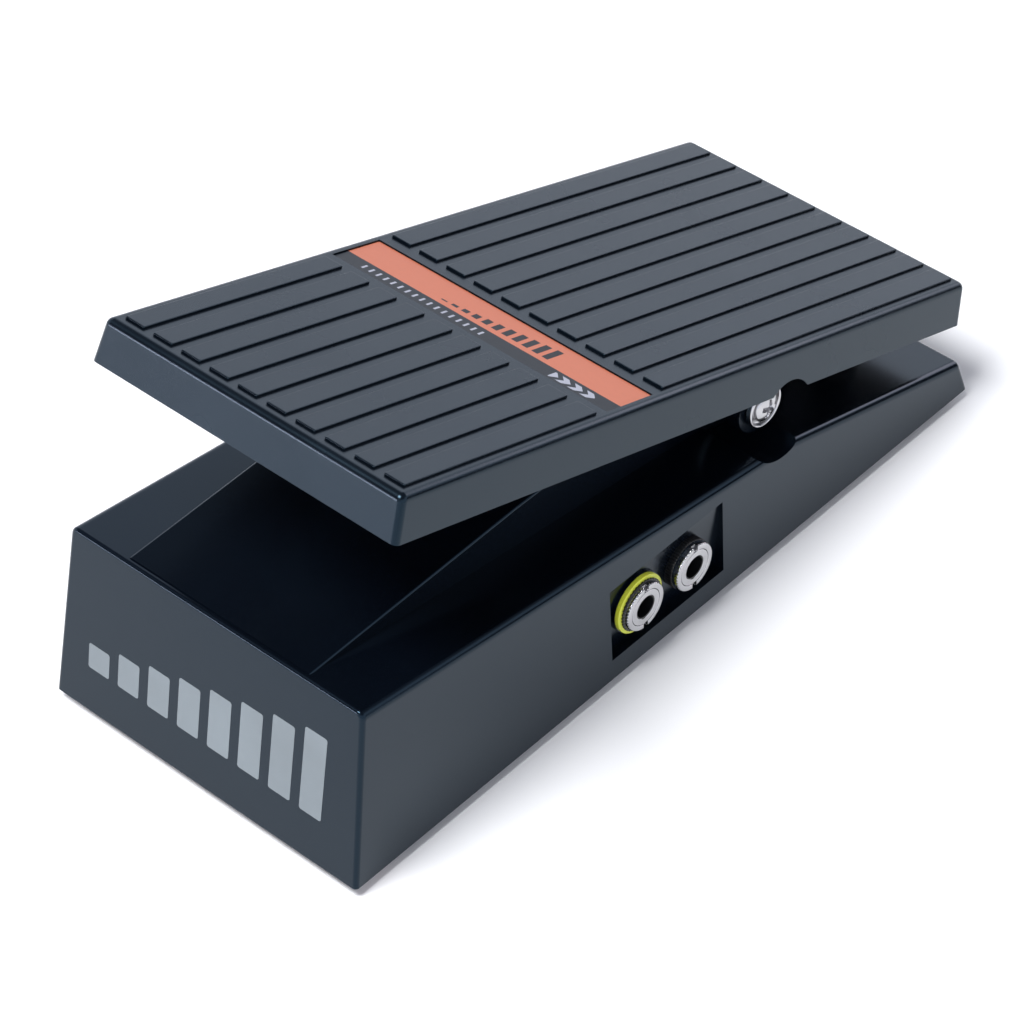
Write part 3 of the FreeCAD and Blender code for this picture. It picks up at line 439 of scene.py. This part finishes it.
def knurl_and_slot(radius, height, angle):
    """r falls by a triangle wave on the rim; z stops at the slot's floor where |x| is under half a slot."""
    wave = np.abs((angle * KNURLS / (2 * np.pi)) % 1 - 0.5) * 2
    rim = np.clip((radius - (NUT_RADIUS - 0.3)) / 0.3, 0, 1)
    rippled = radius - KNURL_DEEP * wave * rim
    across = np.abs(radius * np.cos(angle))
    inside = np.clip((SLOT_HALF - across) / 0.09 + 0.5, 0, 1)
    cap = NUT_THICK - SLOT_DEEP * inside
    return rippled, np.minimum(height, cap)


nut_outline = softened(
    [
        (SLEEVE_RADIUS + 0.03, 0),
        (NUT_RADIUS - 0.25, 0),
        (NUT_RADIUS, 0.3),
        (NUT_RADIUS, NUT_THICK - 0.4),
        (NUT_RADIUS - 0.28, NUT_THICK - 0.04),
        (NUT_RADIUS - 0.6, NUT_THICK),
        (SLEEVE_RADIUS + 0.15, NUT_THICK),
        (SLEEVE_RADIUS + 0.03, NUT_THICK - 0.12),
    ],
    0.1,
    3,
)
nuts = [aimed(turned(nut_outline, 352, knurl_and_slot), (NUT_BACK, y, JACK_Z), "+X") for y in JACK_Y]
ring_nuts = mesh_from_grids("ring_nuts", nuts, "base", nickel, wrap=(True, True))
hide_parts("jack_nuts")

# %% Threaded sleeves
# A tube whose outside is ridged like a thread. Its face is flat and lies just behind the nut's.
MOUTH = NUT_FACE - 0.1 - sleeve_low[0]
BORE, LINER, PITCH = 3.25, 0.3, 0.5
THREAD_DEEP = 0.16
ridge_z = np.arange(3.3, MOUTH - 0.7, PITCH / 2)
ridge_r = SLEEVE_RADIUS - THREAD_DEEP * (np.arange(len(ridge_z)) % 2)
sleeve_outline = np.vstack(
    [
        [(BORE + LINER, 0), (SLEEVE_RADIUS, 0), (SLEEVE_RADIUS, 3.0)],
        np.column_stack([ridge_r, ridge_z]),
        [(SLEEVE_RADIUS - 0.02, MOUTH - 0.2), (SLEEVE_RADIUS - 0.15, MOUTH), (BORE + LINER + 0.1, MOUTH)],
        [(BORE + LINER, MOUTH - 0.08), (BORE + LINER, MOUTH - 0.4)],
    ]
)
tubes = [aimed(turned(sleeve_outline, 128), (sleeve_low[0], y, JACK_Z), "+X") for y in JACK_Y]
threaded_sleeves = mesh_from_grids("threaded_sleeves", tubes, "base", nickel, wrap=(True, True))
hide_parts("jack_sleeves")

# %% Bore liners
# The plug runs in black nylon, which is why a socket looks like a plain dark hole right up to its face.
liner_out = BORE + LINER - 0.01
liner_outline = [(BORE, 0.02), (liner_out, 0.02), (liner_out, MOUTH - 0.12), (BORE, MOUTH - 0.2)]
liners = [aimed(turned(liner_outline, 96), (sleeve_low[0], y, JACK_Z), "+X") for y in JACK_Y]
mesh_from_grids("bore_liners", liners, "base", black_nylon, wrap=(True, True))

# %% Ribbed collar of the heel-side jack
# Behind its nut this jack shows the fine ribs round its black nylon body.
COLLAR_RADIUS, COLLAR_BACK = 7.4, NUT_BACK - 3.6
COLLAR_LONG = NUT_BACK - COLLAR_BACK


def ribs(radius, height, angle):
    """r falls by 0.22 (1 - |sin 26 a|), everywhere but at the bore."""
    wave = np.abs(np.sin(angle * 26))
    outside = radius > SLEEVE_RADIUS + 0.6
    return radius - 0.22 * (1 - wave) * outside, height


collar_outline = softened(
    [
        (SLEEVE_RADIUS + 0.05, 0),
        (COLLAR_RADIUS, 0),
        (COLLAR_RADIUS, COLLAR_LONG - 0.25),
        (COLLAR_RADIUS - 0.15, COLLAR_LONG - 0.02),
        (SLEEVE_RADIUS + 0.05, COLLAR_LONG - 0.02),
    ],
    0.1,
    3,
)
collar_grid = aimed(turned(collar_outline, 312, ribs), (COLLAR_BACK, JACK_Y[1], JACK_Z), "+X")
mesh_from_grids("jack_collar", [collar_grid], "base", black_nylon, wrap=(True, True))

# %% Ribbed washer under the toe-side nut
# A black star washer a little wider than the nut keeps the coloured ring from turning with it.
WASHER_BACK = NUT_BACK - 0.04
WASHER_HOLE, WASHER_RADIUS, WASHER_THICK = SLEEVE_RADIUS + 0.05, 7.75, 0.55


def teeth(radius, height, angle):
    """r falls by a square-shouldered wave on the outer rim only."""
    wave = np.clip(np.sin(angle * 40) * 2.5, -1, 1) * 0.5 + 0.5
    return radius - 0.3 * wave * (radius > NUT_RADIUS), height


washer_outline = [
    (WASHER_HOLE, 0),
    (WASHER_RADIUS, 0),
    (WASHER_RADIUS, WASHER_THICK),
    (WASHER_HOLE, WASHER_THICK),
]
washer_points = turned(softened(washer_outline, 0.08, 3), 320, teeth)
washer_grid = aimed(washer_points, (WASHER_BACK, JACK_Y[0], JACK_Z), "+X")
mesh_from_grids("star_washer", [washer_grid], "base", black_nylon, wrap=(True, True))

# %% [markdown]
# ## Screws
# The heads are pressed: a low dome with a cross recess whose walls lean in. Cutting the cross out with a
# boolean leaves ragged triangles, so here the head is a turned surface whose height is lowered inside a
# cross-shaped mask.


# %% A pan-head screw as one turned surface
def screw_grid(head_radius, head_high, shank_radius, shank_long, cross=0.13):
    """z follows a dome out to the rim, less a recess where the smaller of |x| and |y| is small."""
    t = np.linspace(0, 1, 26)
    dome = np.column_stack([head_radius * 0.96 * t, head_high * (1 - 0.42 * t**2.6)])
    rim = [(head_radius, head_high * 0.45), (head_radius, head_high * 0.15), (head_radius * 0.96, 0)]
    turns = np.arange(0.5, shank_long - shank_radius, 0.25)
    thread = np.column_stack([shank_radius - 0.2 * (np.arange(len(turns)) % 2), -turns])
    tip = [(shank_radius * 0.5, -shank_long + 0.2), (0, -shank_long)]
    outline = np.vstack([dome, rim, [(shank_radius, 0)], thread, tip])

    def cross_recess(radius, height, angle):
        x, y = np.abs(radius * np.cos(angle)), np.abs(radius * np.sin(angle))
        narrow, wide = np.minimum(x, y), np.maximum(x, y)
        arm = np.clip((head_radius * cross - narrow) / (head_radius * 0.05), 0, 1)
        reach = np.clip((head_radius * 0.62 - wide) / (head_radius * 0.22), 0, 1)
        on_top = height > head_high * 0.5
        return radius, height - head_high * 0.62 * arm * reach * on_top

    return turned(outline, 96, cross_recess)


# %% Screws of the case, bracket and gear
CASE_SCREWS = [(x, y) for y in (-112, 64, 109) for x in (-43, 43)]
CASE_HEAD, BRACKET_HEAD, GEAR_HEAD = 1.5, 1.4, 1.2
case_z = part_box("case_screws")[0].z / MM + CASE_HEAD
case_screw = screw_grid(2.9, CASE_HEAD, 1.25, 8.4)
case_grids = [aimed(case_screw, (x, y, case_z), "-Z") for x, y in CASE_SCREWS]
case_heads = mesh_from_grids("case_screw_set", case_grids, "base", zinc)
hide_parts("case_screws")

bracket_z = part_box("bracket_screws")[0].z / MM + BRACKET_HEAD
bracket_screw = screw_grid(2.6, BRACKET_HEAD, 1.25, 6.4)
bracket_grids = [aimed(bracket_screw, (-17, y, bracket_z), "-Z") for y in (-36, -6)]
bracket_heads = mesh_from_grids("bracket_screw_set", bracket_grids, "base", zinc)
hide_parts("bracket_screws")

GEAR_SCREWS, gear_z = ((-5.6, -54), (5.6, -45)), 14.7
gear_screw = screw_grid(2.3, GEAR_HEAD, 1.0, 4.3)
gear_grids = [on_treadle(aimed(gear_screw, (x, y, gear_z), "-Z")) for x, y in GEAR_SCREWS]
gear_heads = mesh_from_grids("gear_screw_set", gear_grids, "treadle_body", zinc)
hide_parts("sector_screws")

# %% Cup washers and pivot screws
# They close the ends of the shaft and are among the brightest things on the pedal: a dished washer
# whose rolled rim stands round the head of the screw.
EAR_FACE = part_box("pivot_shaft")[1].x / MM
ENDS = ((1, "+X"), (-1, "-X"))
roll = np.linspace(-0.15, 1.0, 9) * np.pi
rolled_rim = np.column_stack([6.0 + 0.5 * np.cos(roll), 1.7 + 0.5 * np.sin(roll)])
cup_outline = np.vstack([[(2.2, 0), (5.6, 0), (6.3, 0.5)], rolled_rim, [(5.3, 1.12), (4.8, 1.0), (2.2, 1.0)]])
cup = turned(cup_outline, 96)
cup_grids = [on_treadle(aimed(cup, (side * EAR_FACE, 0, 0), axis)) for side, axis in ENDS]
cups = mesh_from_grids("cup_washers", cup_grids, "treadle_body", nickel, wrap=(True, True))
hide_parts("pivot_washers")
pivot_screw = screw_grid(4.4, 2.4, 1.65, 8.9, cross=0.17)
pivot_grids = [on_treadle(aimed(pivot_screw, (side * (EAR_FACE + 1), 0, 0), axis)) for side, axis in ENDS]
pivot_heads = mesh_from_grids("pivot_screw_set", pivot_grids, "treadle_body", nickel)
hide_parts("pivot_screws")

# %% [markdown]
# ## Feet
# Four moulded rubber feet carry the pedal. Their undersides have rings that grip the floor, like a small
# target, so the outline is turned with a wave on its lower face.

# %% Rubber feet
foot_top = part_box("rubber_feet")[1].z / MM
FEET = [(x, y) for y in (-96, 92) for x in (-36, 36)]
r = np.linspace(0, 7.4, 60)
grip = np.column_stack([r, 0.28 * (np.cos(r * 2 * np.pi / 1.5) > 0.2) * (r > 0.9) * (r < 7.0)])
foot_outline = np.vstack([grip, [(7.8, 0.1), (8.2, 0.6), (9.0, 3.1), (9.0, foot_top), (0, foot_top)]])
foot_grids = [aimed(turned(foot_outline, 72), (x, y, 0), "+Z") for x, y in FEET]
feet = mesh_from_grids("grip_feet", foot_grids, "base", rubber)
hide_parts("rubber_feet")

# %% [markdown]
# ## Printed label across the treadle
# A thin printed plate lies in a shallow bed between the two fields of bars: salmon orange, with a dark
# band on the toe side. Its marks are a plain scale of bars that grow towards one side, a row of ticks and
# a few arrows, the common signs for more and less. They could be cut out as meshes, but print has no
# thickness, so the plate carries its own UV map and the material draws the marks from it.


# %% Printed polycarbonate
BAND_TOP = 6.1
BAR_START, BAR_PITCH, BAR_COUNT, BAR_FOOT, BAR_HEAD = 27.0, 3.4, 12, 8.2, 15.6


def print_material():
    """u runs across and v from toe to heel, in millimetres; each mark is a product of step tests."""
    material, net, shader, position = new_material("Printed label")
    uv = net.add("UVMap", uv_map="print").outputs[0]
    axes = net.add("SeparateXYZ", {0: uv})
    u, v = axes.outputs["X"], axes.outputs["Y"]

    def between(value, start, end):
        above = net.sum("GREATER_THAN", value, start)
        return net.sum("MULTIPLY", above, net.sum("LESS_THAN", value, end))

    def every(origin, pitch, share):
        steps = net.sum("DIVIDE", net.sum("SUBTRACT", u, origin), pitch)
        return net.sum("LESS_THAN", net.sum("FRACT", steps), share)

    def all_of(*masks):
        product = masks[0]
        for mask in masks[1:]:
            product = net.sum("MULTIPLY", product, mask)
        return product

    dark_band = net.sum("LESS_THAN", v, BAND_TOP)
    grown = net.sum("FLOOR", net.sum("DIVIDE", net.sum("SUBTRACT", u, BAR_START), BAR_PITCH))
    short = net.sum("MULTIPLY", net.sum("SUBTRACT", float(BAR_COUNT), grown), 0.62)
    bar_top = net.sum("SUBTRACT", BAR_HEAD, short)
    scale = between(u, BAR_START, BAR_START + BAR_PITCH * BAR_COUNT)
    bars = all_of(every(BAR_START, BAR_PITCH, 0.6), scale, between(v, BAR_FOOT, bar_top))
    ticks = all_of(every(8.0, 2.5, 0.28), between(u, 8.0, 50.0), between(v, 2.1, 4.4))
    chevrons = net.sum("ADD", u, net.sum("ABSOLUTE", net.sum("SUBTRACT", v, 3.2)))
    arrows = net.sum("LESS_THAN", net.sum("FRACT", net.sum("DIVIDE", chevrons, 4.0)), 0.55)
    arrows = all_of(arrows, between(u, 72.0, 86.0), between(v, 1.5, 4.9))
    pale = net.sum("MAXIMUM", ticks, arrows)

    ink = net.noise(position, 700.0, 3.0)
    orange = net.blend(ink, (0.46, 0.134, 0.071, 1.0), (0.5, 0.148, 0.081, 1.0))
    ground = net.blend(dark_band, orange, (0.006, 0.009, 0.014, 1.0))
    marked = net.blend(bars, ground, (0.004, 0.005, 0.008, 1.0))
    net.put(net.blend(pale, marked, (0.34, 0.35, 0.41, 1.0)), shader.inputs["Base Color"])
    shader.inputs["Specular IOR Level"].default_value = 0.22
    net.put(net.sum("ADD", 0.26, net.sum("MULTIPLY", ink, 0.08)), shader.inputs["Roughness"])
    film = net.noise(position, 1800.0, 2.0)
    bump = net.add("Bump", {"Strength": 0.12, "Distance": 0.00001, "Height": film})
    net.put(bump.outputs[0], shader.inputs["Normal"])
    return material


# %% The shape of a thin printed plate
def plate_grid(half_x, toe, heel, low_z, high_z, corner=0.5, steps=7):
    """A rounded rectangle, with a quarter circle at each corner, lofted from its floor up to its face."""
    quarter = np.linspace(0, np.pi / 2, steps)
    ring = []
    for k, (sx, sy) in enumerate(((1, 1), (-1, 1), (-1, -1), (1, -1))):
        angle = quarter + k * np.pi / 2
        centre = (sx * (half_x - corner), (toe + heel) / 2 + sy * ((heel - toe) / 2 - corner))
        ring.append(np.column_stack([centre[0] + corner * np.cos(angle), centre[1] + corner * np.sin(angle)]))
    ring = np.vstack(ring)
    middle = np.array([0, (toe + heel) / 2])
    levels = [(0.0, low_z), (1.0, low_z), (1.0, high_z - 0.08), (0.998, high_z), (0.0, high_z)]
    rows = [np.column_stack([middle + (ring - middle) * share, np.full(len(ring), z)]) for share, z in levels]
    return np.stack(rows, axis=1)


# %% The label plate
LABEL = {"half": 46.25, "toe": -77.55, "heel": -59.25, "low": 19.3, "face": 19.7}
grid = plate_grid(LABEL["half"], LABEL["toe"], LABEL["heel"], LABEL["low"], LABEL["face"])
plate = on_treadle(grid * MM)
label = mesh_from_grids("printed_label", [plate], "treadle_body", print_material())
flat = np.empty(len(label.data.vertices) * 3)
label.data.vertices.foreach_get("co", flat)
local = (flat.reshape(-1, 3) - PIVOT) @ TREADLE_AXES.T
loops = np.empty(len(label.data.loops), int)
label.data.loops.foreach_get("vertex_index", loops)
uv = np.column_stack([local[:, 0] / MM + LABEL["half"], local[:, 1] / MM - LABEL["toe"]])[loops]
layer = label.data.uv_layers.new(name="print")
layer.data.foreach_set("uv", uv.ravel())
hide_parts("label_plate")
print("label, mm:", uv.min(0).round(2), uv.max(0).round(2))

# %% [markdown]
# ## Printed bars on the toe face
# The toe wall carries a large pale print. Here it is a plain scale: bars that grow from left to right.
# Screen-printed ink is about as thick as a sheet of paper, so each bar is a very thin plate laid on the
# leaning wall.

# %% Toe print
ink = moulded("Pale ink", (0.15, 0.183, 0.2), 0.42, depth=0.02, edge=0.0, dust=0.0, mottle=0.08)
CASE_HALF_LONG, TOE_HIGH, TOE_LEAN, FOOT = 125.0, 53.4, 8.0, 3.0
WALL_LEAN = TOE_LEAN / TOE_HIGH


def on_toe_wall(points):
    """Local x stays x, local y climbs the leaning wall, and local z stands out from it."""
    length = math.hypot(1, WALL_LEAN)
    up = np.array([0, WALL_LEAN, 1]) / length
    outward = np.array([0, -1, WALL_LEAN]) / length
    start = np.array([0, -CASE_HALF_LONG, FOOT])
    return (start + points @ np.stack([[1, 0, 0], up, outward])) * MM


BARS, BAR_GAP = 8, 3.2
PRINT_LEFT, PRINT_RIGHT, PRINT_LOW, PRINT_HIGH = -41.8, 39.8, 13.9, 40.0
pitch = (PRINT_RIGHT - PRINT_LEFT + BAR_GAP) / BARS
bar_grids = []
for k in range(BARS):
    top = PRINT_LOW + (PRINT_HIGH - PRINT_LOW) * (0.3 + 0.7 * k / (BARS - 1))
    bar = plate_grid((pitch - BAR_GAP) / 2, PRINT_LOW, top, -0.02, 0.06, corner=0.7)
    bar[..., 0] += PRINT_LEFT + pitch * k + (pitch - BAR_GAP) / 2
    bar_grids.append(on_toe_wall(bar))
mesh_from_grids("toe_print", bar_grids, "base", ink)

# %% [markdown]
# ## Floor, light and camera
# A thing like this looks its best in a light tent: bright low walls all round, a darker ceiling, and one
# soft lamp. The bright walls are what the glossy plastic shows, and the dark ceiling draws the thin dark
# lines along its rounded edges. One large lamp alone would leave the sides dead, so the world's
# brightness follows the height instead. A low strip of light at each end draws the bright line along the
# treadle's edges, and a black card near each strip draws the dark line beside it. The floor lies a hair
# under the feet, so the two faces don't share a plane.

# %% Floor
REACH, UNDER_FEET = 6.0, -0.00002
SQUARE = np.array([(-1, -1, 0), (1, -1, 0), (1, 1, 0), (-1, 1, 0)])


def stage_sheet(name, corners, material):
    """A flat sheet that belongs to the stage and not to the pedal."""
    mesh = bpy.data.meshes.new(name)
    mesh.from_pydata(corners.tolist(), [], [(0, 1, 2, 3)])
    mesh.materials.append(material)
    sheet = bpy.data.objects.new(name, mesh)
    scene.collection.objects.link(sheet)
    return sheet


paper, net, shader, position = new_material("White paper")
paper_tone = net.blend(net.noise(position, 3.0), opaque((0.93, 0.93, 0.93)), opaque((0.95, 0.95, 0.95)))
net.put(paper_tone, shader.inputs["Base Color"])
shader.inputs["Roughness"].default_value = 0.9
shader.inputs["Specular IOR Level"].default_value = 0.1
floor = stage_sheet("floor", SQUARE * REACH + (0, 0, UNDER_FEET), paper)
print("floor:", tuple(floor.dimensions))

# %% Light tent
world = bpy.data.worlds.new("Light tent")
world.use_nodes = True
scene.world = world
net = Net(world.node_tree)
direction = net.add("TexCoord").outputs["Generated"]
climb = net.add("SeparateXYZ", {0: direction}).outputs["Z"]
ramp = net.add("ValToRGB", {0: climb})
TENT_TINT = (0.92, 0.97, 1.09)
stops = {0.0: 1.0, 0.5: 0.98, 0.65: 0.13, 1.0: 0.1}
elements = ramp.color_ramp.elements
for height in list(stops)[1:-1]:
    elements.new(height)
for element, (height, grey) in zip(elements, stops.items()):
    element.position, element.color = height, [grey * part for part in TENT_TINT] + [1]
background = world.node_tree.nodes["Background"].inputs
net.put(ramp.outputs[0], background["Color"])
background["Strength"].default_value = 1.25
print("tent: brightness by height", stops)


# %% Lamps and cards
def facing(place):
    """Axes that look at the pedal from a place: Z is the way back to it, X lies level."""
    away = np.array(place) / np.linalg.norm(place)
    level = np.cross((0, 0, 1), away)
    level /= np.linalg.norm(level)
    return np.stack([level, np.cross(away, level), away], axis=1)


def soft_light(name, place, width, height, watts, colour):
    """An elliptical lamp that looks at the pedal."""
    data = bpy.data.lights.new(name, "AREA")
    data.shape, data.size, data.size_y, data.energy = "ELLIPSE", width, height, watts
    data.color = colour
    light = bpy.data.objects.new(name, data)
    scene.collection.objects.link(light)
    light.matrix_world = Matrix.Translation(place) @ Matrix(facing(place).tolist()).to_4x4()


def black_card(name, place, width, height):
    """A card hidden from the camera, which shows as a dark line in the pedal's rounded edges."""
    corners = SQUARE * (width / 2, height / 2, 0)
    stage_sheet(name, corners @ facing(place).T + place, felt).visible_camera = False


felt, net, shader, position = new_material("Black felt")
shader.inputs["Base Color"].default_value = (0.004, 0.004, 0.005, 1.0)
shader.inputs["Roughness"].default_value = 0.95
shader.inputs["Specular IOR Level"].default_value = 0.0
WHITE, WARM = (0.98, 0.99, 1.01), (1.0, 0.78, 0.8)
soft_light("soft_lamp", (-0.25, -0.85, 2.0), 1.0, 1.0, 56.0, WHITE)
soft_light("toe_strip", (-0.78, -1.39, 0.25), 1.0, 0.14, 9.0, WARM)
soft_light("heel_strip", (0.19, 1.46, 0.62), 0.8, 0.3, 2.2, WARM)
black_card("toe_card", (-0.95, -1.7, 1.1), 1.6, 1.25)
black_card("heel_card", (0.6, 0.75, 0.16), 0.7, 0.3)
scene.view_settings.view_transform = "Standard"
print("lamps:", [light.name for light in bpy.data.lights])

# %% Camera
# A long lens from the right of the toe end, about a metre away and looking down at some 43 degrees.
AZIMUTH, ELEVATION, ROLL = (math.radians(a) for a in (41.74, 42.83, -0.3))
TARGET, DISTANCE = np.array((0.01194, -0.02142, 0.033)), 1.01591
back = np.array(
    (math.sin(AZIMUTH) * math.cos(ELEVATION), -math.cos(AZIMUTH) * math.cos(ELEVATION), math.sin(ELEVATION))
)
right = np.cross((0, 0, 1), back)
right /= np.linalg.norm(right)
up = np.cross(back, right)
c, s = math.cos(ROLL), math.sin(ROLL)
frame_axes = np.stack([c * right + s * up, -s * right + c * up, back], axis=1)
camera_data = bpy.data.cameras.new("camera")
camera_data.lens, camera_data.sensor_width = 137.6, 36.0
camera_data.shift_x, camera_data.shift_y = 0.0017, -0.0015
camera = bpy.data.objects.new("camera", camera_data)
scene.collection.objects.link(camera)
camera.matrix_world = Matrix.Translation(TARGET + DISTANCE * back) @ Matrix(frame_axes.tolist()).to_4x4()
scene.camera = camera
print("camera at", [round(v, 4) for v in camera.location])
